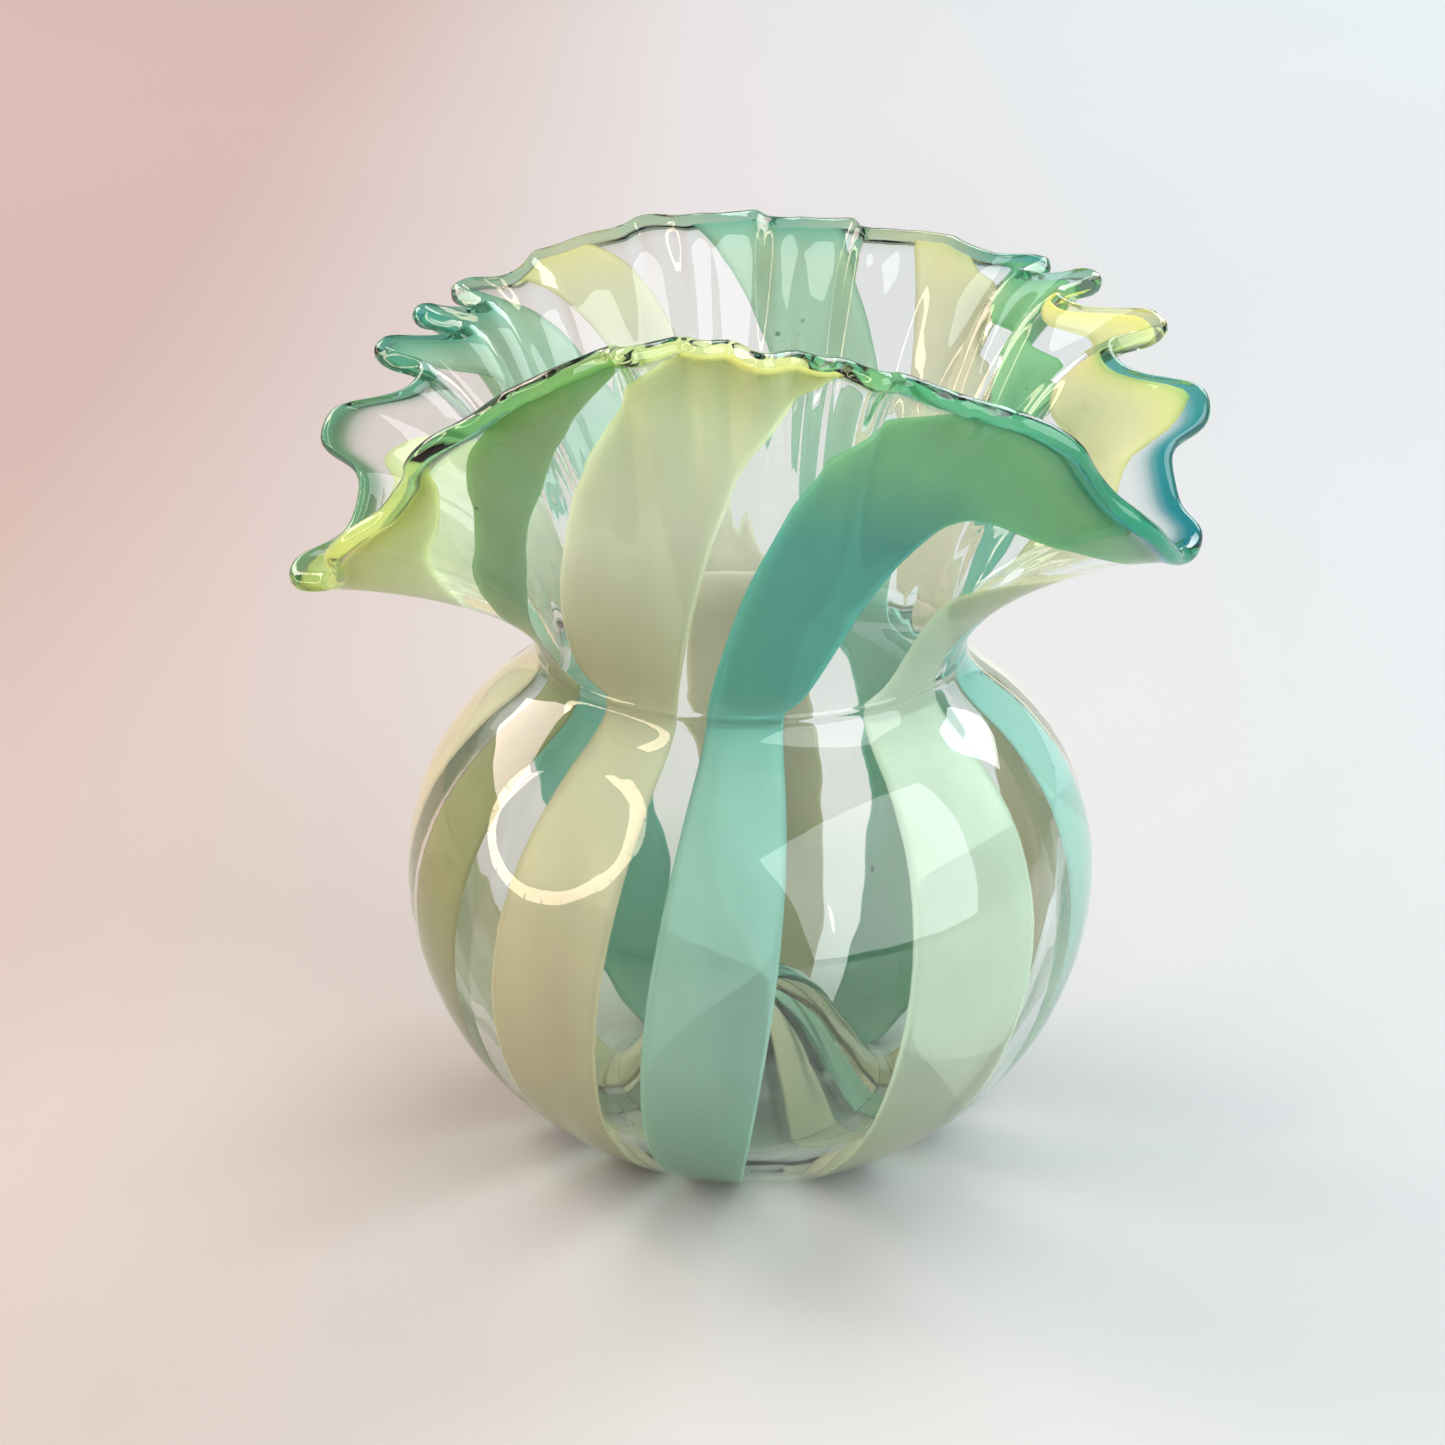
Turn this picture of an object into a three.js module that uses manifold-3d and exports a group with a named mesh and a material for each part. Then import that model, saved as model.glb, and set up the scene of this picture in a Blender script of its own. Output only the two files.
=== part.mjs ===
// Hand blown art glass vase: one clear blown bubble with a folded, fire polished rim, and ten
// coloured glass bands laid into its outer face. Millimetres, +Z up, +X to the right, front at -Y.
import * as THREE from 'three';
import Module from 'manifold-3d';

// Driving dimensions, in millimetres. The widest part of the body is 124 across.
const FOOT_INNER_RADIUS = 21.5;
const FOOT_OUTER_RADIUS = 27;
const NECK_MID_RADIUS = 36.4;
const NECK_HEIGHT = 95;
const WALL_AT_NECK = 3.6;
const WALL_AT_RIM = 2.6;
const BEAD_RADIUS = 1.7;
const FOLD_ROUNDING = 1.7;
const LIP_CURL = 14;

// How the bands sit in the clear wall.
const BAND_RECESS = 0.1;
const BAND_THICKNESS = 0.7;
const BAND_GAP = 0.42;
const GROOVE_DEPTH = 1.22;
const BAND_START_RADIUS = 7.5;
const BAND_TOP = 0.91;
const GROOVE_TOP = 0.93;

// How far the gathered glass turns, in degrees, between the foot and the neck.
const BODY_TWIST = 11;
const TWIST_LEVEL = 45;

// Outside of the blown body from the pushed-up base, over the foot ring, to the crease under the
// neck: [radius, height].
const OUTSIDE = [
  [5, 21.4], [14, 13.8], [FOOT_INNER_RADIUS, 0], [FOOT_OUTER_RADIUS, 0], [36.5, 4], [47.5, 13.6],
  [56.2, 26], [61.4, 41.5], [61.7, 57], [57, 71], [49, 81.4], [41.6, 87.6], [38, 92],
];

// Inside of the blown body, from the neck down to the middle of the base.
const INSIDE = [
  [34.4, 91], [38.6, 85.2], [47, 77.2], [54.8, 64], [57.6, 50], [55.2, 34], [46.6, 18.4],
  [32, 6.2], [23, 9.8], [13.5, 22.6], [5, 27.4],
];

// The folds of the rim in turn around the mouth. Each row is the angle of one outward fold, its
// reach from the axis, the reach of the inward fold that follows it, and the height of the rim.
const FOLDS = [
  [2, 77.5, 62.5, 136], [14, 73.5, 58, 146], [28, 69, 58, 150.5], [39, 68, 60, 150.5],
  [54, 57.5, 52, 154], [71.5, 54, 50, 155.5], [91, 53, 50, 156.5], [110, 54.5, 54.5, 156],
  [127, 59.5, 59, 151.5], [143, 66, 55, 146.5], [154, 65.5, 53, 145], [165.5, 66.5, 57.5, 142],
  [177.5, 72.5, 66.5, 132], [190, 78.5, 73, 110.5], [204, 74, 67.5, 121], [219, 66.5, 61, 141],
  [234, 59.5, 54.5, 153], [250, 54.5, 50, 159.5], [272, 53.5, 51, 159], [291, 55.5, 55, 155.5],
  [304, 58.5, 60, 150.5], [317, 65, 67, 144], [331, 72.5, 73.5, 126], [348, 76, 71.5, 116.5],
];

// The coloured bands in turn, from the right edge around the back. body is the middle and width
// of the band on the widest part, in degrees; rim is where its two edges end on the rim; sweep is
// how late each edge swings across to its place there, and lean how far it bows on the way.
const BANDS = [
  { name: 'band_1_cream', body: [16, 26], rim: [47, 57], sweep: [1.3, 1.3], lean: [0, 5] },
  { name: 'band_2_turquoise', body: [52, 26], rim: [72, 103], sweep: [1.3, 1.3], lean: [0, 0] },
  { name: 'band_3_cream', body: [88, 26], rim: [122, 137], sweep: [1.3, 1.3], lean: [10, 3] },
  { name: 'band_4_turquoise', body: [124, 26], rim: [143, 172], sweep: [1.3, 1.3], lean: [0, -6] },
  { name: 'band_5_cream', body: [173, 32], rim: [186, 219], sweep: [1.3, 1.3], lean: [-12, -18] },
  { name: 'band_6_turquoise', body: [205.5, 17], rim: [226, 250], sweep: [1, 1], lean: [-18, -24] },
  { name: 'band_7_cream', body: [234.5, 21], rim: [257, 287], sweep: [1.3, 1.3], lean: [-17, 0] },
  { name: 'band_8_turquoise', body: [262.5, 19.5], rim: [307, 350], sweep: [1.2, 1.3], lean: [0, 9] },
  { name: 'band_9_cream', body: [307, 26], rim: [364, 387], sweep: [1.4, 1.4], lean: [12, 4] },
  { name: 'band_10_turquoise', body: [343, 20], rim: [392, 404], sweep: [1.3, 1.3], lean: [0, 0] },
];
const COLUMNS = 92;

// Levels at which the flare is cut into rings, 0 at the neck and 1 at the rim.
const FLARE_LEVELS = [0.08, 0.26, 0.44, 0.6, 0.74, 0.85];
const INNER_LEVELS = [0.88, 0.68, 0.46, 0.2];

// The sectors the bands are cut from: how far they reach past the wall and above the rim.
const SECTOR_OUTER_RADIUS = 140;
const FLARE_SPREAD = 11;
const ABOVE_RIM = 30;

// Levels of a sector on the body: [height, radius of its side faces, half their width].
const SECTOR_LEVELS = [
  [-6, 29, 22], [5, 29, 22], [14, 34, 27], [25, 36, 29], [34, 58, 12], [56, 60, 12], [76, 53, 14],
  [92, 38, 12],
];
const SMALLEST_DETAIL = 0.07;

const CLEAR = { color: 0xd9efe8, roughness: 0.04, metalness: 0 };
const TURQUOISE = { color: 0x7cc7b0, roughness: 0.1, metalness: 0 };
const CREAM = { color: 0xd8dcae, roughness: 0.1, metalness: 0 };

const radians = (degrees) => degrees * Math.PI / 180;
const mix = (a, b, amount) => a + (b - a) * amount;

function pointAround(radius, angle, height) {
  return new THREE.Vector3(radius * Math.cos(angle), radius * Math.sin(angle), height);
}

// Value of one column of a table that repeats every 360 degrees, smooth through every row.
function aroundRim(rows, column, degrees) {
  const count = rows.length;
  const angleOf = (i) => rows[((i % count) + count) % count][0] + 360 * Math.floor(i / count);
  const valueOf = (i) => rows[((i % count) + count) % count][column];
  let i = -1;
  while (angleOf(i + 1) <= degrees) {
    i += 1;
  }
  const span = angleOf(i + 1) - angleOf(i);
  const t = (degrees - angleOf(i)) / span;
  const slope = (k) => (valueOf(k + 1) - valueOf(k - 1)) / (angleOf(k + 1) - angleOf(k - 1)) * span;
  const t2 = t * t;
  const t3 = t2 * t;
  return (2 * t3 - 3 * t2 + 1) * valueOf(i) + (t3 - 2 * t2 + t) * slope(i)
    + (3 * t2 - 2 * t3) * valueOf(i + 1) + (t3 - t2) * slope(i + 1);
}

// Outward folds passed on the way round to an angle: whole numbers lie on the folds themselves.
function foldsPassed(degrees) {
  const count = FOLDS.length;
  const angleOf = (i) => FOLDS[((i % count) + count) % count][0] + 360 * Math.floor(i / count);
  let i = -2;
  while (angleOf(i + 1) <= degrees) {
    i += 1;
  }
  return i + (degrees - angleOf(i)) / (angleOf(i + 1) - angleOf(i));
}

// A point half way through the wall of the neck and flare, at an angle around the axis. up runs
// from 0 at the neck to 1 at the rim; the folds grow towards the rim.
function flareMiddle(degrees, up) {
  const tip = aroundRim(FOLDS, 1, degrees);
  const valley = aroundRim(FOLDS, 2, degrees - 6);
  const height = aroundRim(FOLDS, 3, degrees);
  const swing = Math.cos(2 * Math.PI * foldsPassed(degrees));
  const wave = Math.tanh(FOLD_ROUNDING * swing) / Math.tanh(FOLD_ROUNDING);
  const reach = mix(NECK_MID_RADIUS, (tip + valley) / 2, up ** 1.7);
  const curl = LIP_CURL * up ** 6 * (1 - up);
  const radius = reach - curl + (tip - valley) / 2 * wave * up ** 2.5;
  const z = mix(NECK_HEIGHT, height, 1 - (1 - up) ** 1.35);
  return pointAround(radius, radians(degrees), z);
}

// Direction square to the wall of the flare, pointing out, and the direction up the wall.
function flareDirections(degrees, up) {
  const left = flareMiddle(degrees - 0.3, up);
  const right = flareMiddle(degrees + 0.3, up);
  const below = flareMiddle(degrees, up - 0.02);
  const rise = flareMiddle(degrees, up).sub(below).normalize();
  const outward = right.sub(left).cross(rise).normalize();
  return { outward, rise };
}

function flarePoint(degrees, up, side) {
  const wall = mix(WALL_AT_NECK, WALL_AT_RIM, up);
  const { outward } = flareDirections(degrees, up);
  return flareMiddle(degrees, up).addScaledVector(outward, side * wall / 2);
}

// Angles around the mouth, the same length of rim apart, so that the steep sides of the folds
// get their share. The round body needs only every second one.
function anglesAroundMouth() {
  const steps = 1440;
  const marks = [0];
  for (let i = 0; i < steps; i += 1) {
    const start = flareMiddle(360 * i / steps, 1);
    marks.push(marks[i] + start.distanceTo(flareMiddle(360 * (i + 1) / steps, 1)));
  }
  return Array.from({ length: COLUMNS }, (_, k) => {
    const wanted = marks[steps] * k / COLUMNS;
    return 360 * marks.findIndex((mark) => mark >= wanted) / steps;
  });
}
const MOUTH_ANGLES = anglesAroundMouth();
const BODY_ANGLES = MOUTH_ANGLES.filter((_, i) => i % 2 === 0);

function bodyRing(radius, height) {
  return BODY_ANGLES.map((degrees) => pointAround(radius, radians(degrees), height));
}

// Rings of the outer face from the base up to a level of the flare, sunk into the glass by depth.
function outerRings(depth, top) {
  const rings = OUTSIDE.map(([radius, height], i) => {
    const before = OUTSIDE[Math.max(0, i - 1)];
    const after = OUTSIDE[Math.min(OUTSIDE.length - 1, i + 1)];
    const slope = new THREE.Vector2(after[0] - before[0], after[1] - before[1]).normalize();
    return bodyRing(radius - slope.y * depth, height + slope.x * depth);
  });
  const levels = [...FLARE_LEVELS.filter((up) => up < top - 0.04), top];
  for (const up of levels) {
    rings.push(MOUTH_ANGLES.map((degrees) => {
      const { outward } = flareDirections(degrees, up);
      return flarePoint(degrees, up, 1).addScaledVector(outward, -depth);
    }));
  }
  return rings;
}

// Joins two rings. One may have twice as many points as the other.
function joinRings(triangles, from, fromCount, to, toCount) {
  const count = Math.max(fromCount, toCount);
  const fromStep = count / fromCount;
  const toStep = count / toCount;
  const a = (i) => from + Math.floor((i % count) / fromStep);
  const b = (i) => to + Math.floor((i % count) / toStep);
  for (let i = 0; i < count; i += 1) {
    if (a(i) !== a(i + 1)) {
      triangles.push(a(i), a(i + 1), b(i + 1));
    }
    if (b(i) !== b(i + 1)) {
      triangles.push(a(i), b(i + 1), b(i));
    }
  }
}

const wasm = await Module();
wasm.setup();

function solidFrom(points, triangles) {
  return new wasm.Manifold(new wasm.Mesh({
    numProp: 3,
    vertProperties: new Float32Array(points.flatMap((point) => point.toArray())),
    triVerts: new Uint32Array(triangles),
  }));
}

// A closed skin through a stack of rings. With ends, one point closes the stack at either end;
// without them the last ring joins back to the first.
function solidOfRings(rings, ends) {
  const points = rings.flat();
  const triangles = [];
  const starts = rings.map((_, i) => rings.slice(0, i).reduce((sum, ring) => sum + ring.length, 0));
  rings.forEach((ring, i) => {
    const next = (i + 1) % rings.length;
    if (next > 0 || !ends) {
      joinRings(triangles, starts[i], ring.length, starts[next], rings[next].length);
    }
  });
  if (ends) {
    const last = rings.length - 1;
    const first = points.length;
    points.push(...ends);
    for (let i = 0; i < rings[0].length; i += 1) {
      triangles.push(first, (i + 1) % rings[0].length, i);
    }
    for (let i = 0; i < rings[last].length; i += 1) {
      const after = (i + 1) % rings[last].length;
      triangles.push(first + 1, starts[last] + i, starts[last] + after);
    }
  }
  return solidFrom(points, triangles);
}

// A layer of the outer wall between two depths, all the way round.
function wallLayer(outerDepth, innerDepth, top) {
  return solidOfRings([...outerRings(outerDepth, top), ...outerRings(innerDepth, top).reverse()]);
}

// The glass turns a little on the body, then sweeps round as the flare is pulled out.
function bodyAngle(edge, height) {
  return edge.body + BODY_TWIST * (height - TWIST_LEVEL) / NECK_HEIGHT;
}

function flareAngle(edge, up) {
  const bow = edge.lean * Math.sin(Math.PI * Math.sqrt(up));
  return mix(bodyAngle(edge, NECK_HEIGHT), edge.rim, up ** edge.sweep) + bow;
}

// The levels of the sector a band is cut from, bottom to top. Each has the angles of the band's two
// edges, and how the radius and height of the wall vary with the angle.
function sectorRows(band) {
  const edges = [0, 1].map((side) => ({
    body: band.body[0] + (side - 0.5) * band.body[1],
    rim: band.rim[side],
    sweep: band.sweep[side],
    lean: band.lean[side],
  }));
  const rows = SECTOR_LEVELS.map(([height, radius, spread]) => ({
    angles: edges.map((edge) => bodyAngle(edge, height)),
    height: () => height,
    radius: () => radius,
    spread,
  }));
  for (let up = 0.125; up <= 1; up += 0.125) {
    rows.push({
      angles: edges.map((edge) => flareAngle(edge, up)),
      height: (degrees) => flareMiddle(degrees, up).z,
      radius: (degrees) => Math.hypot(flareMiddle(degrees, up).x, flareMiddle(degrees, up).y),
      spread: FLARE_SPREAD,
    });
  }
  const top = rows[rows.length - 1];
  rows.push({ ...top, height: (degrees) => top.height(degrees) + ABOVE_RIM });
  return rows;
}

// The sector of the vase that one band lies in, grown on every side by a gap. Its two side faces
// stay close to the wall, so that they follow the edges of the band.
function bandSector(band, gap) {
  const rows = sectorRows(band);
  const last = rows.length - 1;
  const columns = Math.ceil((band.rim[1] - band.rim[0]) / 8) + 1;

  const place = (row, side) => {
    const degrees = rows[row].angles[side];
    return new THREE.Vector2(radians(degrees) * NECK_MID_RADIUS, rows[row].height(degrees));
  };
  const edgePoint = (row, side, away) => {
    const { angles, radius, height, spread } = rows[row];
    const along = place(Math.min(row + 1, last), side).sub(place(Math.max(row - 1, 0), side));
    along.normalize().multiplyScalar(side === 0 ? -gap : gap);
    const reach = radius(angles[side]) + away * spread;
    return pointAround(reach, radians(angles[side]) + along.y / reach,
      height(angles[side]) - along.x);
  };
  const sheet = (away) => rows.flatMap(({ angles, height }, row) => {
    const reach = away > 0 ? SECTOR_OUTER_RADIUS : BAND_START_RADIUS - gap;
    const between = Array.from({ length: columns - 1 }, (_, i) => {
      const degrees = mix(angles[0], angles[1], (i + 1) / columns);
      return pointAround(reach, radians(degrees), height(degrees));
    });
    return [edgePoint(row, 0, away), ...between, edgePoint(row, 1, away)];
  });

  const front = sheet(1);
  const behind = front.length;
  const triangles = [];
  const quad = (a, b, c, d) => triangles.push(a, b, c, a, c, d);
  const at = (row, i) => row * (columns + 1) + i;
  const closeAcross = (from, to) => quad(from, from + behind, to + behind, to);
  for (let row = 0; row < last; row += 1) {
    for (let i = 0; i < columns; i += 1) {
      const corners = [at(row, i), at(row, i + 1), at(row + 1, i + 1), at(row + 1, i)];
      quad(...corners);
      quad(...corners.reverse().map((corner) => corner + behind));
    }
    closeAcross(at(row + 1, 0), at(row, 0));
    closeAcross(at(row, columns), at(row + 1, columns));
  }
  for (let i = 0; i < columns; i += 1) {
    closeAcross(at(0, i), at(0, i + 1));
    closeAcross(at(last, i + 1), at(last, i));
  }
  return solidFrom([...front, ...sheet(-1)], triangles);
}

// The clear bubble: outer face, polished bead, then the inner face.
function clearGlass() {
  const rings = outerRings(0, GROOVE_TOP);
  for (const turn of [10, 65, 115, 170]) {
    rings.push(MOUTH_ANGLES.map((degrees) => {
      const { outward, rise } = flareDirections(degrees, 1);
      return flareMiddle(degrees, 1)
        .addScaledVector(outward, BEAD_RADIUS * Math.cos(radians(turn)))
        .addScaledVector(rise, BEAD_RADIUS * Math.sin(radians(turn)));
    }));
  }
  for (const up of INNER_LEVELS) {
    rings.push(MOUTH_ANGLES.map((degrees) => flarePoint(degrees, up, -1)));
  }
  for (const [radius, height] of INSIDE) {
    rings.push(bodyRing(radius, height));
  }
  const under = new THREE.Vector3(0, 0, OUTSIDE[0][1] + 0.6);
  const over = new THREE.Vector3(0, 0, INSIDE[INSIDE.length - 1][1] + 1.4);
  return solidOfRings(rings, [under, over]);
}

// A cut can leave crumbs in the tightest folds; the piece itself is by far the largest.
function largestOf(solid) {
  return solid.decompose().reduce((best, part) => (part.volume() > best.volume() ? part : best));
}

function meshFrom(name, finish, solid) {
  const { vertProperties, triVerts } = solid.getMesh();
  const geometry = new THREE.BufferGeometry();
  geometry.setAttribute('position', new THREE.BufferAttribute(vertProperties, 3));
  geometry.setIndex(new THREE.BufferAttribute(triVerts, 1));
  geometry.computeVertexNormals();
  const mesh = new THREE.Mesh(geometry, new THREE.MeshStandardMaterial(finish));
  mesh.name = name;
  return mesh;
}

const vase = new THREE.Group();
vase.name = 'hand_blown_vase';
const bandLayer = wallLayer(BAND_RECESS, BAND_RECESS + BAND_THICKNESS, BAND_TOP);
const grooveLayer = wallLayer(-1, GROOVE_DEPTH, GROOVE_TOP);
let glass = clearGlass();
for (const band of BANDS) {
  const finish = band.name.endsWith('cream') ? CREAM : TURQUOISE;
  const bar = largestOf(bandLayer.intersect(bandSector(band, 0)));
  vase.add(meshFrom(band.name, finish, bar.simplify(SMALLEST_DETAIL)));
  glass = glass.subtract(grooveLayer.intersect(bandSector(band, BAND_GAP)));
}
vase.add(meshFrom('clear_glass_body', CLEAR, largestOf(glass).simplify(SMALLEST_DETAIL)));
export default vase;
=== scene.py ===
import math

import bpy
import numpy as np
from mathutils import Matrix, Vector


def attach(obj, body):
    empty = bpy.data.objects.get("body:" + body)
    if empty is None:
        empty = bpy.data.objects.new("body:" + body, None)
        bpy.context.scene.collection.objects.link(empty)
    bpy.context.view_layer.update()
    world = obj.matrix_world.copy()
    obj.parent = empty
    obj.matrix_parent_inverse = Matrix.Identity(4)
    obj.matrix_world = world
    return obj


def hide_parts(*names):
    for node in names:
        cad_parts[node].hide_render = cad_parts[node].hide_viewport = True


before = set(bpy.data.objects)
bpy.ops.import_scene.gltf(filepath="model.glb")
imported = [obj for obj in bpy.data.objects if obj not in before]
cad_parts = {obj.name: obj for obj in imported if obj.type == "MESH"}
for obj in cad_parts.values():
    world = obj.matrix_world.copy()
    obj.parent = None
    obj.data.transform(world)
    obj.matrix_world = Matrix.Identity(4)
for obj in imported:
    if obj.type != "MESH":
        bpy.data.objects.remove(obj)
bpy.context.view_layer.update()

# ---------------------------------------------------------------------------------------------
# Shape of the vase, in millimetres, the same as the CAD part. Angles are degrees around the axis
# from the right, and the front is at 270. Levels of the flare run from 0 at the neck to 1 at the
# rim, and the wall ends just under the bead.

METRE = 0.001
NECK_MID_RADIUS = 36.4
NECK_HEIGHT = 95.0
WALL_AT_NECK = 3.6
WALL_AT_RIM = 2.6
WALL_TOP = 0.985
BEAD_RADIUS = 1.7
FOLD_ROUNDING = 1.7
LIP_CURL = 14.0

# How far the gathered glass turns, in degrees, between the foot and the neck.
BODY_TWIST = 11.0
TWIST_LEVEL = 45.0

# Outer face of the body from the pushed-up base to the neck, and inner face from the neck down,
# as (radius, height), then the heights of both faces on the axis.
OUTSIDE = [
    (2, 22.1), (5, 21.4), (9.4, 18.6), (14, 12.8), (18.4, 5), (21.3, 0.7), (22.6, 0), (26, 0),
    (27.6, 0.3), (36.5, 4), (47.5, 13.6), (56.2, 26), (61.4, 41.5), (61.7, 57), (57, 71),
    (49, 81.4), (41.6, 87.6), (38.9, 90.6), (38.1, 92.6), (38.3, 93.6), (38.05, 94.6),
]
INSIDE = [
    (34.5, 92.6), (35.2, 90), (38.6, 85.2), (47, 77.2), (54.8, 64), (57.6, 50), (55.2, 34),
    (46.6, 18.4), (32, 6.4), (27, 6.4), (23, 9.6), (18.4, 16), (13.5, 22.6), (8.6, 26.6), (4, 28),
]
UNDER_POLE = 22.3
OVER_POLE = 28.4

# Each fold of the rim: its angle, its reach, the reach of the inward fold after it, and the
# height of the rim there.
FOLDS = np.array([
    (2, 77.5, 62.5, 136), (14, 73.5, 58, 146), (28, 69, 58, 150.5), (39, 68, 60, 150.5),
    (54, 57.5, 52, 154), (71.5, 54, 50, 155.5), (91, 53, 50, 156.5), (110, 54.5, 54.5, 156),
    (127, 59.5, 59, 151.5), (143, 66, 55, 146.5), (154, 65.5, 53, 145), (165.5, 66.5, 57.5, 142),
    (177.5, 72.5, 66.5, 132), (190, 78.5, 73, 110.5), (204, 74, 67.5, 121), (219, 66.5, 61, 141),
    (234, 59.5, 54.5, 153), (250, 54.5, 50, 159.5), (272, 53.5, 51, 159), (291, 55.5, 55, 155.5),
    (304, 58.5, 60, 150.5), (317, 65, 67, 144), (331, 72.5, 73.5, 126), (348, 76, 71.5, 116.5),
])

# Colours along a band from its foot to the rim, as (level, red, green, blue, how much shows
# through). Level 0 is the foot, 1 the crease of the neck and 2 the rim.
TURQUOISE = [
    (0.0, 0xB0, 0xDC, 0xC0, 0.0), (0.45, 0xBA, 0xE2, 0xD2, 0.0), (0.9, 0x9C, 0xCE, 0xC0, 0.0),
    (1.05, 0x66, 0xC0, 0xAE, 0.0), (1.4, 0x6C, 0xC4, 0xB4, 0.05), (1.65, 0x9E, 0xDA, 0xAE, 0.1),
    (1.9, 0xA2, 0xD6, 0xA6, 0.2), (2.0, 0x80, 0xC8, 0xA0, 0.3),
]
# Turquoise with painted light for the bands at the back, seen from inside: paler where light
# falls on their inner faces, with painted shade darkening the foot.
BACK_TURQUOISE_PAINTED_LIT = [
    (0.0, 0x7C, 0xB8, 0x9C, 0.0), (0.5, 0xA8, 0xDE, 0xCC, 0.0), (1.0, 0xB4, 0xE8, 0xD8, 0.1),
    (1.5, 0xC8, 0xE0, 0xD2, 0.35), (1.85, 0xBE, 0xD8, 0xC2, 0.35), (2.0, 0x88, 0xC4, 0xB0, 0.3),
]
# Turquoise glass in painted shade for the band on the left: a dull olive sage in place of
# turquoise, darker towards the foot.
TURQUOISE_IN_PAINTED_SHADE = [
    (0.0, 0x84, 0xA0, 0x7C, 0.0), (0.5, 0xA4, 0xAC, 0x7C, 0.0), (0.9, 0x98, 0xA2, 0x76, 0.0),
    (1.2, 0xAA, 0xCC, 0xAE, 0.1), (1.6, 0xAC, 0xCE, 0xA6, 0.15), (1.85, 0xAC, 0xCC, 0x98, 0.2),
    (2.0, 0xA0, 0xD0, 0x84, 0.25),
]
CREAM = [
    (0.0, 0xE2, 0xDC, 0xB4, 0.0), (0.45, 0xDA, 0xD6, 0xB6, 0.0), (0.9, 0xD4, 0xD8, 0xBC, 0.0),
    (1.05, 0xC6, 0xCC, 0xA8, 0.0), (1.4, 0xE8, 0xEE, 0xDA, 0.05), (1.7, 0xF0, 0xF8, 0xDA, 0.1),
    (1.9, 0xE6, 0xEE, 0xBC, 0.15), (2.0, 0xE6, 0xE8, 0xA4, 0.2),
]
# Cream with painted light for the band on the right: paler and cooler where the window light
# falls.
CREAM_PAINTED_WINDOW_LIT = [
    (0.0, 0xEC, 0xE6, 0xC4, 0.0), (0.45, 0xDE, 0xEE, 0xD8, 0.0), (0.9, 0xCE, 0xE0, 0xCC, 0.0),
    (1.1, 0xC0, 0xD2, 0xB8, 0.1), (1.6, 0xD8, 0xDE, 0xB8, 0.25), (1.85, 0xE8, 0xE8, 0xC0, 0.15),
    (2.0, 0xF6, 0xF0, 0x98, 0.0),
]
# Cream with painted light for the bands at the back, seen from inside: paler where light falls on
# their inner faces, with painted shade darkening the foot.
BACK_CREAM_PAINTED_LIT = [
    (0.0, 0xC8, 0xC4, 0x9C, 0.0), (0.5, 0xE6, 0xE4, 0xCA, 0.0), (1.0, 0xF0, 0xEE, 0xDC, 0.1),
    (1.5, 0xEC, 0xEC, 0xE0, 0.35), (1.8, 0xE4, 0xE4, 0xCC, 0.35), (2.0, 0xE6, 0xE4, 0xB4, 0.3),
]

# Name, middle and width on the body, where the edges end on the rim, how late each edge swings
# across to its place there, how far it bows on the way, and the colours.
BANDS = [
    ("band_1_cream", (16, 26), (47, 57), (1.3, 1.3), (0, 5), BACK_CREAM_PAINTED_LIT),
    ("band_2_turquoise", (52, 26), (72, 103), (1.3, 1.3), (0, 0), BACK_TURQUOISE_PAINTED_LIT),
    ("band_3_cream", (88, 26), (122, 137), (1.3, 1.3), (10, 3), BACK_CREAM_PAINTED_LIT),
    ("band_4_turquoise", (124, 26), (143, 172), (1.3, 1.3), (0, -6), BACK_TURQUOISE_PAINTED_LIT),
    ("band_5_cream", (173, 32), (186, 219), (1.3, 1.3), (-12, -18), CREAM),
    ("band_6_turquoise", (205.5, 17), (226, 250), (1, 1), (-18, -24), TURQUOISE_IN_PAINTED_SHADE),
    ("band_7_cream", (234.5, 21), (257, 287), (1.3, 1.3), (-17, 0), CREAM),
    ("band_8_turquoise", (262.5, 19.5), (307, 350), (1.2, 1.3), (0, 9), TURQUOISE),
    ("band_9_cream", (307, 26), (364, 387), (1.4, 1.4), (12, 4), CREAM_PAINTED_WINDOW_LIT),
    ("band_10_turquoise", (343, 20), (392, 404), (1.3, 1.3), (0, 0), TURQUOISE),
]

# Colour of the bead in turn around the mouth: (angle, red, green, blue).
BEAD = [
    (0, 0x40, 0xAA, 0xAA), (9, 0x68, 0xB8, 0xAC), (16, 0xF0, 0xEE, 0xB0), (30, 0x90, 0xCC, 0xB8),
    (40, 0x40, 0xAE, 0xA0), (56, 0xD0, 0xDC, 0xB0), (85, 0x88, 0xC8, 0xB4),
    (125, 0xD4, 0xE0, 0xB8), (156, 0x50, 0xB4, 0xA8), (188, 0x80, 0xB8, 0x84),
    (205, 0xC0, 0xCC, 0x80), (224, 0x70, 0xC0, 0xA0), (248, 0xA0, 0xC4, 0x78),
    (266, 0xF0, 0xF2, 0xC0), (284, 0xD0, 0xD8, 0x98), (296, 0x60, 0xBC, 0xAC),
    (330, 0x04, 0x8C, 0x94), (348, 0x08, 0x8E, 0x98),
]

# Tints of the clear glass: the wall, the thick glass at the foot, and the rays drawn together in
# the middle of the pushed-up base.
CLEAR_TINT = (0.945, 0.985, 0.97)
FOOT_TINT = (0.66, 0.83, 0.7)
RAY_TINT = (0.1, 0.24, 0.15)
RAYS = 19

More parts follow.
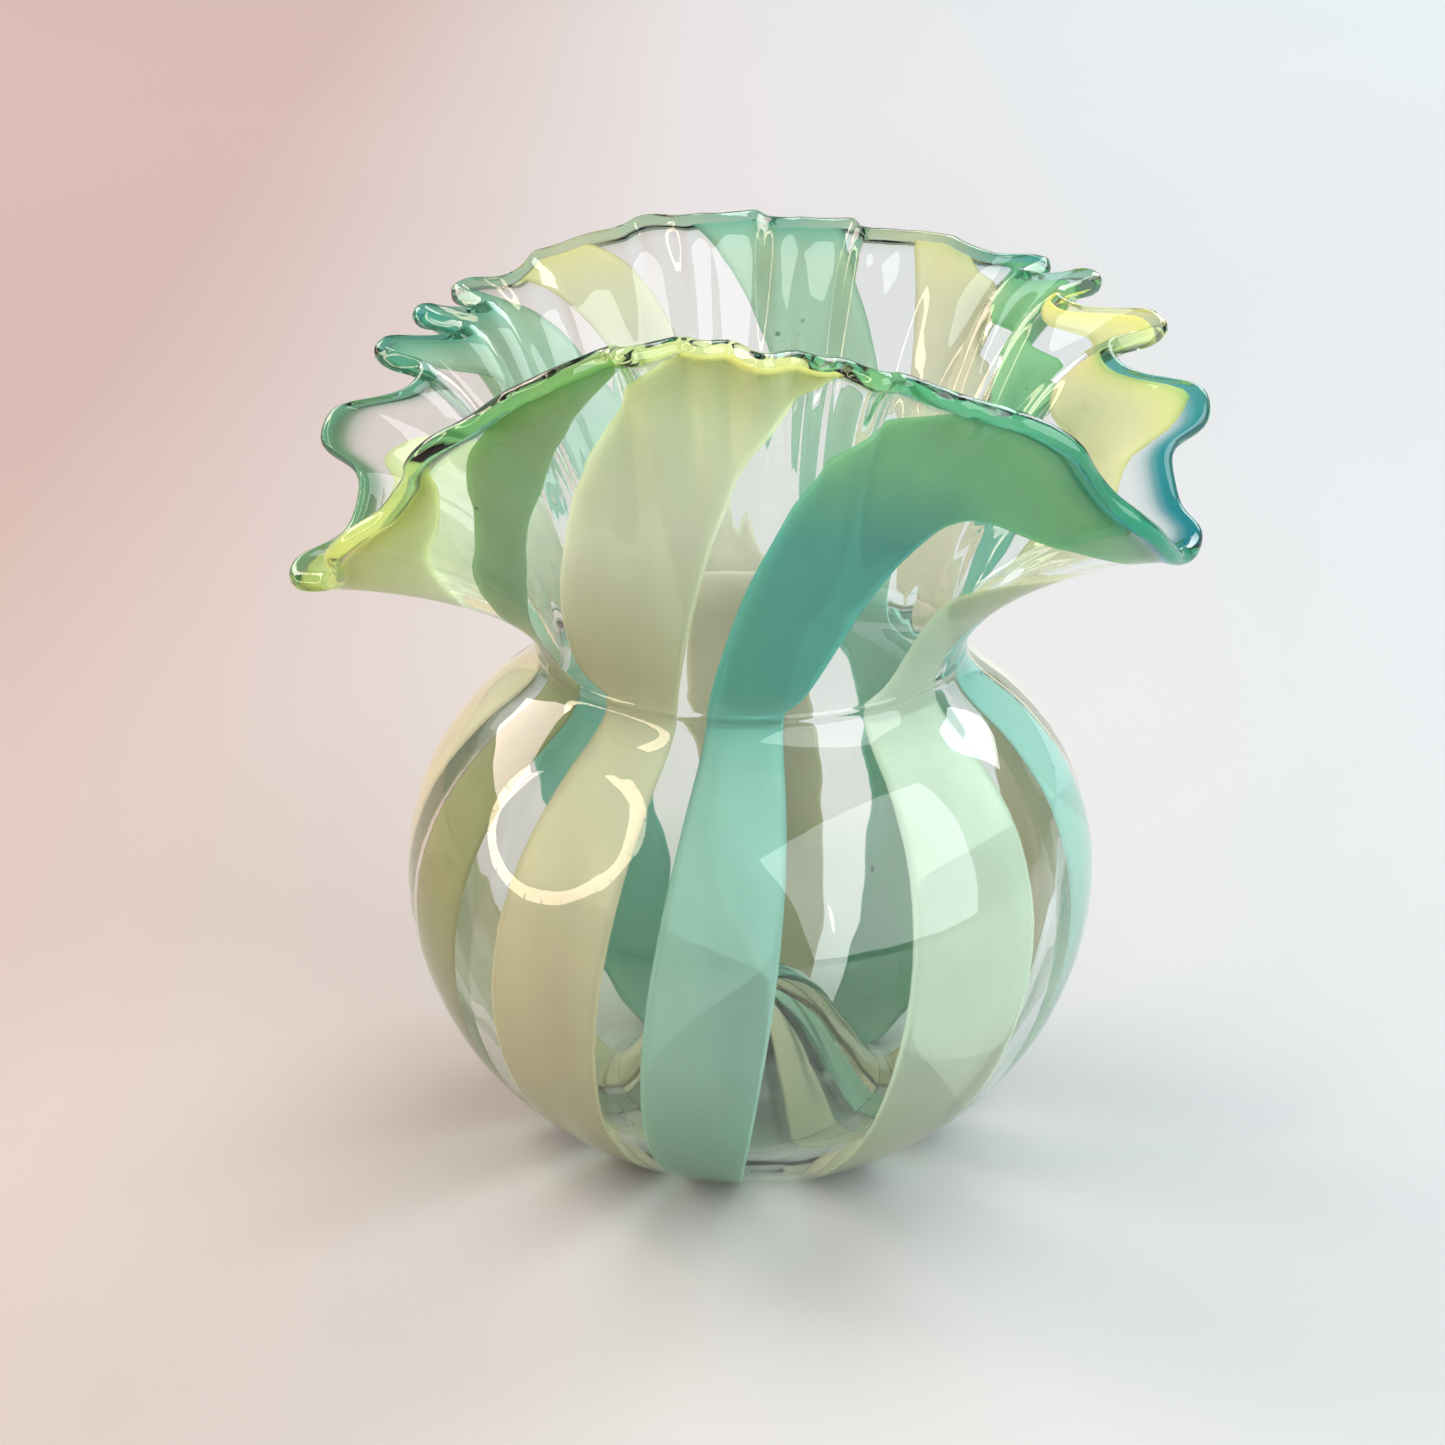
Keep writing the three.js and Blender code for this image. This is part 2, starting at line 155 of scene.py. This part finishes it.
# Small crimps of the front and back lips: where each row has its middle, how far it spreads to
# either side, and how deep it is at the rim.
FRONT_CRIMPS = (272, 46, 1.5)
BACK_CRIMPS = (92, 44, 0.9)
CRIMPS_PER_TURN = 36

# How finely the meshes are cut.
SHELL_COLUMNS = 480
FLARE_ROWS = 46
BEAD_ROWS = 9
PROFILE_STEPS = 3
BAND_COLUMNS = 28
BAND_ROWS = 64

# How deep the middle and both faces of a band lie in the wall.
BAND_DEPTH = 0.34
BAND_THICKNESS = 0.62


def mix(a, b, amount):
    return a + (b - a) * amount


def pleats(degrees, up):
    """How far the crimps of the lips push the wall out or in, most of all at the rim."""
    depth = 0
    for middle, spread, deepest in (FRONT_CRIMPS, BACK_CRIMPS):
        depth = depth + deepest * np.exp(-((once_round(degrees) - middle) / spread) ** 4)
    uneven = 40 * np.sin(np.radians(degrees * 5))
    wave = np.cos(np.radians(degrees * CRIMPS_PER_TURN + uneven))
    return depth * wave * np.maximum(up, 0) ** 2.8


def linear(colour):
    """sRGB bytes to the linear values that shaders take."""
    value = np.asarray(colour, float) / 255
    return np.where(value <= 0.04045, value / 12.92, ((value + 0.055) / 1.055) ** 2.4)


def wrapped_rows(column):
    angles = np.concatenate([FOLDS[-2:, 0] - 360, FOLDS[:, 0], FOLDS[:3, 0] + 360])
    values = np.concatenate([FOLDS[-2:, column], FOLDS[:, column], FOLDS[:3, column]])
    return angles, values


def once_round(degrees):
    return (degrees - FOLDS[0, 0]) % 360 + FOLDS[0, 0]


def around_rim(column, degrees):
    """Value of one column of FOLDS at any angle, smooth through every row."""
    angles, values = wrapped_rows(column)
    degrees = once_round(degrees)
    i = np.searchsorted(angles, degrees, side="right") - 1
    span = angles[i + 1] - angles[i]
    t = (degrees - angles[i]) / span
    start_slope = (values[i + 1] - values[i - 1]) / (angles[i + 1] - angles[i - 1]) * span
    end_slope = (values[i + 2] - values[i]) / (angles[i + 2] - angles[i]) * span
    t2, t3 = t * t, t * t * t
    return ((2 * t3 - 3 * t2 + 1) * values[i] + (t3 - 2 * t2 + t) * start_slope
            + (3 * t2 - 2 * t3) * values[i + 1] + (t3 - t2) * end_slope)


def fold_wave(degrees):
    """1 on an outward fold, -1 on an inward one, with rounded turns."""
    angles, _ = wrapped_rows(0)
    passed = np.interp(once_round(degrees), angles, np.arange(len(angles)))
    return np.tanh(FOLD_ROUNDING * np.cos(2 * math.pi * passed)) / math.tanh(FOLD_ROUNDING)


def flare_middle(degrees, up):
    """Points half way through the wall, at angles around the axis and levels of the flare."""
    tip = around_rim(1, degrees)
    valley = around_rim(2, degrees - 6)
    height = around_rim(3, degrees)
    reach = mix(NECK_MID_RADIUS, (tip + valley) / 2, np.maximum(up, 0) ** 1.7)
    radius = reach + (tip - valley) / 2 * fold_wave(degrees) * np.maximum(up, 0) ** 2.5
    radius = radius + pleats(degrees, up) - LIP_CURL * np.maximum(up, 0) ** 6 * (1 - up)
    z = mix(NECK_HEIGHT, height, 1 - (1 - up) ** 1.35)
    angle = np.radians(degrees)
    return np.stack([radius * np.cos(angle), radius * np.sin(angle), z], axis=-1)


def unit(vectors):
    return vectors / np.linalg.norm(vectors, axis=-1, keepdims=True)


def flare_directions(degrees, up):
    """Square to the wall, pointing out, and up the wall."""
    rise = unit(flare_middle(degrees, up) - flare_middle(degrees, up - 0.02))
    along = flare_middle(degrees + 0.3, up) - flare_middle(degrees - 0.3, up)
    return unit(np.cross(along, rise)), rise


def flare_face(degrees, up, side, depth=0.0):
    """Points of the outer (side 1) or inner (side -1) face of the flare, sunk into the glass."""
    outward, _ = flare_directions(degrees, up)
    wall = mix(WALL_AT_NECK, WALL_AT_RIM, up)
    offset = side * (wall / 2 - depth)
    return flare_middle(degrees, up) + outward * np.expand_dims(offset, -1)


def smooth_line(points, steps):
    """A Catmull-Rom line through points, with as many steps between each two."""
    p = np.array([points[0], *points, points[-1]], float)
    out = []
    for i in range(1, len(p) - 2):
        for t in np.arange(steps) / steps:
            a, b, c, d = p[i - 1:i + 3]
            out.append(0.5 * (2 * b + (c - a) * t + (2 * a - 5 * b + 4 * c - d) * t * t
                              + (3 * b - a - 3 * c + d) * t ** 3))
    out.append(p[-2])
    return np.array(out)


def normals_of_line(line):
    along = unit(np.gradient(line, axis=0))
    return np.stack([along[:, 1], -along[:, 0]], axis=-1)


def turned(line, degrees):
    """Every point of a (radius, height) line at every angle: rings of points."""
    angle = np.radians(degrees)
    radius = line[:, 0, None]
    height = np.broadcast_to(line[:, 1, None], (len(line), len(angle)))
    return np.stack([radius * np.cos(angle), radius * np.sin(angle), height], axis=-1)


def rim_angles(count):
    """Angles around the mouth, the same length of rim apart."""
    fine = np.linspace(0, 360, 5761)
    points = flare_middle(fine, np.ones_like(fine))
    length = np.concatenate([[0], np.cumsum(np.linalg.norm(np.diff(points, axis=0), axis=1))])
    return np.interp(np.arange(count) / count * length[-1], length, fine)


def band_edges(band, heights, ups):
    """Angles of both edges of a band, at heights of the body and then at levels of the flare."""
    _, (middle, width), rim, sweep, lean, _ = band
    edges = []
    for side in (0, 1):
        body = middle + (side - 0.5) * width
        low = body + BODY_TWIST * (heights - TWIST_LEVEL) / NECK_HEIGHT
        at_neck = body + BODY_TWIST * (NECK_HEIGHT - TWIST_LEVEL) / NECK_HEIGHT
        bow = lean[side] * np.sin(math.pi * np.sqrt(ups))
        edges.append(np.concatenate([low, mix(at_neck, rim[side], ups ** sweep[side]) + bow]))
    return edges


# ---------------------------------------------------------------------------------------------
# Meshes

def new_piece(name, points, faces, material):
    mesh = bpy.data.meshes.new(name)
    mesh.from_pydata([tuple(p) for p in np.asarray(points) * METRE], [], faces)
    mesh.shade_smooth()
    mesh.materials.append(material)
    piece = bpy.data.objects.new(name, mesh)
    bpy.context.scene.collection.objects.link(piece)
    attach(piece, "root")
    return piece


def add_colours(piece, name, colours):
    layer = piece.data.color_attributes.new(name=name, type="FLOAT_COLOR", domain="POINT")
    rgba = np.ones((len(piece.data.vertices), 4), np.float32)
    rgba[:, :colours.shape[1]] = colours
    layer.data.foreach_set("color", rgba.ravel())


def add_values(piece, name, values):
    layer = piece.data.attributes.new(name=name, type="FLOAT", domain="POINT")
    layer.data.foreach_set("value", np.asarray(values, np.float32).ravel())


def bead_colour(degrees):
    stops = np.array([BEAD[-1], *BEAD, BEAD[0]], float)
    stops[0, 0] -= 360
    stops[-1, 0] += 360
    rgb = [np.interp(degrees % 360, stops[:, 0], linear(stops[:, k])) for k in (1, 2, 3)]
    return np.stack(rgb, axis=-1)


def clear_shell(material):
    """The clear bubble: outer face, fire polished bead, inner face."""
    degrees = rim_angles(SHELL_COLUMNS)
    ups = 1 - (1 - np.linspace(0, 1, FLARE_ROWS + 1)[1:]) ** 1.15
    outer = smooth_line(OUTSIDE, PROFILE_STEPS)
    inner = smooth_line(INSIDE, PROFILE_STEPS)
    rings = list(turned(outer, degrees))
    rings += [flare_face(degrees, np.full_like(degrees, up), 1) for up in ups if up < WALL_TOP]
    start = len(rings)
    one = np.ones_like(degrees)
    outward, rise = flare_directions(degrees, one)
    middle = flare_middle(degrees, one)
    for turn in np.radians(np.linspace(-20, 200, BEAD_ROWS)):
        rings.append(middle + BEAD_RADIUS * (outward * math.cos(turn) + rise * math.sin(turn)))
    end = len(rings)
    rings += [flare_face(degrees, np.full_like(degrees, up), -1)
              for up in ups[::-1] if up < WALL_TOP]
    rings += list(turned(inner, degrees))
    count = len(degrees)
    points = np.concatenate(rings + [[(0, 0, UNDER_POLE)], [(0, 0, OVER_POLE)]])
    faces = []
    for r in range(len(rings) - 1):
        for i in range(count):
            j = (i + 1) % count
            faces.append((r * count + i, r * count + j, (r + 1) * count + j, (r + 1) * count + i))
    under, over = len(points) - 2, len(points) - 1
    last = (len(rings) - 1) * count
    faces += [(under, (i + 1) % count, i) for i in range(count)]
    faces += [(over, last + i, last + (i + 1) % count) for i in range(count)]
    piece = new_piece("clear_glass_wall", points, faces, material)
    near_rim = np.zeros(len(rings))
    near_rim[start:end] = 1
    for step, share in ((1, 0.8), (2, 0.45), (3, 0.2), (4, 0.08)):
        near_rim[start - step] = share
        near_rim[end - 1 + step] = share

    # Greener towards the thick foot.
    heights = np.array([ring[:, 2].mean() for ring in rings])
    foot = np.clip(1 - heights / 34, 0, 1)[:, None] ** 0.7
    base = mix(np.array(CLEAR_TINT), np.array(FOOT_TINT), foot)
    tint = np.concatenate([mix(colour, bead_colour(degrees), share)
                           for colour, share in zip(base, near_rim)] + [[FOOT_TINT], [FOOT_TINT]])

    # The rays fade out between 17 and 24 mm from the axis.
    spread = np.array([np.hypot(ring[:, 0], ring[:, 1]).mean() for ring in rings])
    raised = np.repeat(np.clip((24 - spread) / 7, 0, 1), count)
    rays = np.tile(np.clip(np.cos(np.radians(degrees * RAYS)), 0, 1) ** 3, len(rings))
    dark = np.append(raised * rays, [0, 0])[:, None]
    add_colours(piece, "tint", mix(tint, np.array(RAY_TINT), dark))
    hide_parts("clear_glass_body")
    return piece


def band_colours(stops, levels):
    stops = np.array(stops, float)
    rgb = [np.interp(levels, stops[:, 0], linear(stops[:, k])) for k in (1, 2, 3)]
    return np.stack(rgb, axis=-1), np.interp(levels, stops[:, 0], stops[:, 4])


def colour_band(band, material):
    """One band: a thin lens of coloured glass just under the outer face, from foot to rim."""
    name, stops = band[0], band[-1]
    line = smooth_line(OUTSIDE, PROFILE_STEPS)
    normals = normals_of_line(line)
    ups = np.linspace(0.02, WALL_TOP, BAND_ROWS)
    left, right = band_edges(band, line[:, 1], ups)
    across = np.linspace(0, 1, BAND_COLUMNS + 1)
    degrees = mix(left[:, None], right[:, None], across)
    lens = np.sqrt(np.maximum(1 - (2 * across - 1) ** 8, 0))
    rows = len(left)
    layers = []
    for sunk in (0, 1):
        depth = BAND_DEPTH + BAND_THICKNESS * (0.5 + (sunk - 0.5) * lens)
        rings = []
        for r in range(len(line)):
            radius = line[r, 0] - normals[r, 0] * depth
            height = line[r, 1] - normals[r, 1] * depth
            angle = np.radians(degrees[r])
            ring = [radius * np.cos(angle), radius * np.sin(angle), height]
            rings.append(np.stack(ring, axis=-1))
        for r in range(len(line), rows):
            up = np.full_like(degrees[r], ups[r - len(line)])
            rings.append(flare_face(degrees[r], up, 1, depth))
        layers.append(np.array(rings))
    front, back = layers
    points = np.concatenate([front.reshape(-1, 3), back.reshape(-1, 3)])
    wide = BAND_COLUMNS + 1
    behind = rows * wide
    faces = []
    for r in range(rows - 1):
        for i in range(BAND_COLUMNS):
            a, d = r * wide + i, (r + 1) * wide + i
            b, c = a + 1, d + 1
            faces.append((a, b, c, d))
            faces.append((d + behind, c + behind, b + behind, a + behind))
        a, d = r * wide, (r + 1) * wide
        faces.append((d, d + behind, a + behind, a))
        b, c = a + BAND_COLUMNS, d + BAND_COLUMNS
        faces.append((b, b + behind, c + behind, c))
    for i in range(BAND_COLUMNS):
        faces.append((i, i + behind, i + 1 + behind, i + 1))
        a = (rows - 1) * wide + i
        faces.append((a + 1, a + 1 + behind, a + behind, a))
    piece = new_piece(name.replace("band", "stripe"), points, faces, material)
    outside_foot = np.arange(len(line)) > np.argmin(line[:, 1])
    levels = np.concatenate([np.where(outside_foot, line[:, 1] / NECK_HEIGHT, 0), 1 + ups])
    rgb, through = band_colours(stops, levels)
    rgb = np.repeat(rgb[:, None], wide, axis=1).reshape(-1, 3)
    add_colours(piece, "colour", np.concatenate([rgb, rgb]))
    soft_edge = np.clip((np.abs(2 * across - 1) - 0.82) / 0.18, 0, 1) ** 2
    through = np.clip(through[:, None] + 0.5 * soft_edge, 0, 1).ravel()
    add_values(piece, "through", np.concatenate([through, through]))
    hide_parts(name)
    return piece


# ---------------------------------------------------------------------------------------------
# Materials

def new_material(name):
    material = bpy.data.materials.new(name)
    material.use_nodes = True
    nodes = material.node_tree.nodes
    nodes.clear()
    output = nodes.new("ShaderNodeOutputMaterial")
    return material, nodes, material.node_tree.links, output


def glass_material():
    material, nodes, links, output = new_material("clear_blown_glass")
    tint = nodes.new("ShaderNodeAttribute")
    tint.attribute_name = "tint"
    place = nodes.new("ShaderNodeTexCoord")
    waves = nodes.new("ShaderNodeTexNoise")
    waves.inputs["Scale"].default_value = 55
    waves.inputs["Detail"].default_value = 2
    stretch = nodes.new("ShaderNodeMapping")
    stretch.inputs["Scale"].default_value = (1, 1, 0.35)
    bump = nodes.new("ShaderNodeBump")
    bump.inputs["Strength"].default_value = 0.12
    bump.inputs["Distance"].default_value = 0.002
    glass = nodes.new("ShaderNodeBsdfPrincipled")
    glass.inputs["Roughness"].default_value = 0.015
    glass.inputs["IOR"].default_value = 1.5
    glass.inputs["Transmission Weight"].default_value = 1
    lamp_way = nodes.new("ShaderNodeBsdfTransparent")
    lamp_way.inputs["Color"].default_value = (0.93, 0.96, 0.95, 1)
    path = nodes.new("ShaderNodeLightPath")
    choice = nodes.new("ShaderNodeMixShader")
    links.new(place.outputs["Object"], stretch.inputs["Vector"])
    links.new(stretch.outputs["Vector"], waves.inputs["Vector"])
    links.new(waves.outputs["Fac"], bump.inputs["Height"])
    links.new(bump.outputs["Normal"], glass.inputs["Normal"])
    links.new(tint.outputs["Color"], glass.inputs["Base Color"])
    links.new(path.outputs["Is Shadow Ray"], choice.inputs["Fac"])
    links.new(glass.outputs["BSDF"], choice.inputs[1])
    links.new(lamp_way.outputs["BSDF"], choice.inputs[2])
    links.new(choice.outputs["Shader"], output.inputs["Surface"])
    return material


def add_specks(nodes, links, place, colour, socket):
    """Mixes a few dark grains of glass, about half a millimetre across, into a colour."""
    grains = nodes.new("ShaderNodeTexVoronoi")
    grains.inputs["Scale"].default_value = 190
    near = nodes.new("ShaderNodeMapRange")
    near.inputs["From Min"].default_value = 0.06
    near.inputs["From Max"].default_value = 0.11
    near.inputs["To Min"].default_value = 0.85
    near.inputs["To Max"].default_value = 0
    patches = nodes.new("ShaderNodeTexNoise")
    patches.inputs["Scale"].default_value = 70
    patchy = nodes.new("ShaderNodeMapRange")
    patchy.inputs["From Min"].default_value = 0.56
    patchy.inputs["From Max"].default_value = 0.6
    share = nodes.new("ShaderNodeMath")
    share.operation = "MULTIPLY"
    blend = nodes.new("ShaderNodeMix")
    blend.data_type = "RGBA"
    blend.inputs["B"].default_value = (0.0, 0.07, 0.06, 1)
    links.new(place.outputs["Object"], grains.inputs["Vector"])
    links.new(place.outputs["Object"], patches.inputs["Vector"])
    links.new(grains.outputs["Distance"], near.inputs["Value"])
    links.new(patches.outputs["Fac"], patchy.inputs["Value"])
    links.new(near.outputs["Result"], share.inputs[0])
    links.new(patchy.outputs["Result"], share.inputs[1])
    links.new(share.outputs["Value"], blend.inputs["Factor"])
    links.new(colour, blend.inputs["A"])
    links.new(blend.outputs["Result"], socket)


def band_material(name, specks):
    """Coloured glass that lets some light through, with faint streaks along the band."""
    material, nodes, links, output = new_material(name)
    colour = nodes.new("ShaderNodeAttribute")
    colour.attribute_name = "colour"
    through = nodes.new("ShaderNodeAttribute")
    through.attribute_name = "through"
    place = nodes.new("ShaderNodeTexCoord")
    stretch = nodes.new("ShaderNodeMapping")
    stretch.inputs["Scale"].default_value = (1, 1, 0.3)
    streaks = nodes.new("ShaderNodeTexNoise")
    streaks.inputs["Scale"].default_value = 90
    streaks.inputs["Detail"].default_value = 4
    fade = nodes.new("ShaderNodeMapRange")
    fade.inputs["From Min"].default_value = 0.3
    fade.inputs["From Max"].default_value = 0.7
    fade.inputs["To Min"].default_value = 0.77
    fade.inputs["To Max"].default_value = 0.86
    tinted = nodes.new("ShaderNodeVectorMath")
    tinted.operation = "SCALE"
    enamel = nodes.new("ShaderNodeBsdfPrincipled")
    enamel.inputs["Roughness"].default_value = 0.5
    enamel.inputs["Specular IOR Level"].default_value = 0.15
    glow = nodes.new("ShaderNodeBsdfTranslucent")
    body = nodes.new("ShaderNodeMixShader")
    body.inputs["Fac"].default_value = 0.25
    clear = nodes.new("ShaderNodeBsdfTransparent")
    whole = nodes.new("ShaderNodeMixShader")
    links.new(place.outputs["Object"], stretch.inputs["Vector"])
    links.new(stretch.outputs["Vector"], streaks.inputs["Vector"])
    links.new(streaks.outputs["Fac"], fade.inputs["Value"])
    if specks:
        add_specks(nodes, links, place, colour.outputs["Color"], tinted.inputs[0])
    else:
        links.new(colour.outputs["Color"], tinted.inputs[0])
    links.new(fade.outputs["Result"], tinted.inputs["Scale"])
    links.new(tinted.outputs["Vector"], enamel.inputs["Base Color"])
    links.new(tinted.outputs["Vector"], glow.inputs["Color"])
    links.new(enamel.outputs["BSDF"], body.inputs[1])
    links.new(glow.outputs["BSDF"], body.inputs[2])
    links.new(colour.outputs["Color"], clear.inputs["Color"])
    links.new(through.outputs["Fac"], whole.inputs["Fac"])
    links.new(body.outputs["Shader"], whole.inputs[1])
    links.new(clear.outputs["BSDF"], whole.inputs[2])
    links.new(whole.outputs["Shader"], output.inputs["Surface"])
    return material


# ---------------------------------------------------------------------------------------------
# Floor, lights and camera

def floor():
    """Pale paper with painted light: darker and rosy on the left, cool on the right, where rosy
    and cool lamps fall.
    """
    material, nodes, links, output = new_material("pale_paper")
    place = nodes.new("ShaderNodeTexCoord")
    grain = nodes.new("ShaderNodeTexNoise")
    grain.inputs["Scale"].default_value = 3
    shades = nodes.new("ShaderNodeMapRange")
    shades.inputs["To Min"].default_value = 0.97
    shades.inputs["To Max"].default_value = 1.03
    parts = nodes.new("ShaderNodeSeparateXYZ")
    across = nodes.new("ShaderNodeMapRange")
    across.inputs["From Min"].default_value = -0.22
    across.inputs["From Max"].default_value = 0.22
    # Painted light and shade across the floor from left to right: darker rosy paper on the left,
    # cool paper on the right.
    painted_light_ramp = nodes.new("ShaderNodeValToRGB")
    painted_light_ramp.color_ramp.elements[0].color = (0.335, 0.262, 0.238, 1)
    painted_light_ramp.color_ramp.elements[1].color = (0.395, 0.432, 0.442, 1)
    middle = painted_light_ramp.color_ramp.elements.new(0.45)
    middle.color = (0.4, 0.4, 0.395, 1)
    shaded = nodes.new("ShaderNodeVectorMath")
    shaded.operation = "SCALE"
    paper = nodes.new("ShaderNodeBsdfPrincipled")
    paper.inputs["Roughness"].default_value = 0.85
    paper.inputs["Specular IOR Level"].default_value = 0.1
    links.new(place.outputs["Object"], grain.inputs["Vector"])
    links.new(grain.outputs["Fac"], shades.inputs["Value"])
    links.new(place.outputs["Object"], parts.inputs["Vector"])
    links.new(parts.outputs["X"], across.inputs["Value"])
    links.new(across.outputs["Result"], painted_light_ramp.inputs["Fac"])
    links.new(painted_light_ramp.outputs["Color"], shaded.inputs[0])
    links.new(shades.outputs["Result"], shaded.inputs["Scale"])
    links.new(shaded.outputs["Vector"], paper.inputs["Base Color"])
    links.new(paper.outputs["BSDF"], output.inputs["Surface"])
    mesh = bpy.data.meshes.new("floor")
    sides, radius = 96, 5
    turns = [2 * math.pi * i / sides for i in range(sides)]
    edge = [(radius * math.cos(turn), radius * math.sin(turn), 0) for turn in turns]
    mesh.from_pydata(edge, [], [tuple(range(sides))])
    mesh.materials.append(material)
    piece = bpy.data.objects.new("floor", mesh)
    bpy.context.scene.collection.objects.link(piece)


def soft_light(name, place, target, size, power, colour):
    lamp = bpy.data.lights.new(name, "AREA")
    lamp.shape = "RECTANGLE"
    lamp.size, lamp.size_y = size
    lamp.energy = power
    lamp.color = colour
    light = bpy.data.objects.new(name, lamp)
    light.location = place
    aim = Vector(target) - Vector(place)
    light.rotation_euler = aim.to_track_quat("-Z", "Y").to_euler()
    light.visible_camera = False
    light.visible_transmission = False
    bpy.context.scene.collection.objects.link(light)


def lights():
    world = bpy.data.worlds.new("studio")
    world.use_nodes = True
    sky = world.node_tree.nodes["Background"]
    sky.inputs["Color"].default_value = (0.95, 0.95, 0.97, 1)
    sky.inputs["Strength"].default_value = 0.36
    bpy.context.scene.world = world
    cool, cooler, rosy = (0.94, 0.97, 1.0), (0.93, 0.97, 1.0), (1.0, 0.8, 0.76)
    soft_light("window", (0.64, -0.58, 0.52), (0, 0, 0.05), (1.2, 1.05), 17, cooler)
    soft_light("far_window", (1.2, 1.6, 1.7), (0.1, 0.9, 0.0), (1.8, 1.8), 70, cool)
    soft_light("left_wall", (-1.3, 1.0, 1.2), (-0.3, 0.7, 0.0), (1.2, 1.2), 34, rosy)
    ring_light((-0.35, -0.08, 0.28), (0, 0, 0.07), 0.2, 1.7, (1.0, 0.8, 0.6))


def ring_light(place, target, radius, power, colour):
    """A warm ring lamp: short strips in a circle that faces the vase."""
    aim = (Vector(target) - Vector(place)).to_track_quat("-Z", "Y")
    strips = 24
    for i in range(strips):
        turn = 2 * math.pi * i / strips
        offset = aim @ Vector((radius * math.cos(turn), radius * math.sin(turn), 0))
        lamp = bpy.data.lights.new(f"ring_{i}", "AREA")
        lamp.shape = "RECTANGLE"
        lamp.size = 0.04
        lamp.size_y = 2 * math.pi * radius / strips
        lamp.energy = power / strips
        lamp.color = colour
        light = bpy.data.objects.new(f"ring_{i}", lamp)
        light.location = Vector(place) + offset
        light.rotation_mode = "QUATERNION"
        light.rotation_quaternion = aim @ Matrix.Rotation(turn, 3, "Z").to_quaternion()
        light.visible_camera = False
        light.visible_transmission = False
        bpy.context.scene.collection.objects.link(light)


def camera():
    lens = bpy.data.cameras.new("camera")
    lens.sensor_width = 36
    lens.lens = 73.6
    lens.clip_end = 50
    viewer = bpy.data.objects.new("camera", lens)
    viewer.location = (-0.005, -0.489, 0.281)
    viewer.rotation_euler = (math.radians(90 - 22.6), 0, 0)
    bpy.context.scene.collection.objects.link(viewer)
    bpy.context.scene.camera = viewer


bpy.context.scene.view_settings.view_transform = "Standard"
clear_shell(glass_material())
for band in BANDS:
    colour_band(band, band_material(band[0] + "_glass", band[0].endswith("turquoise")))
floor()
lights()
camera()
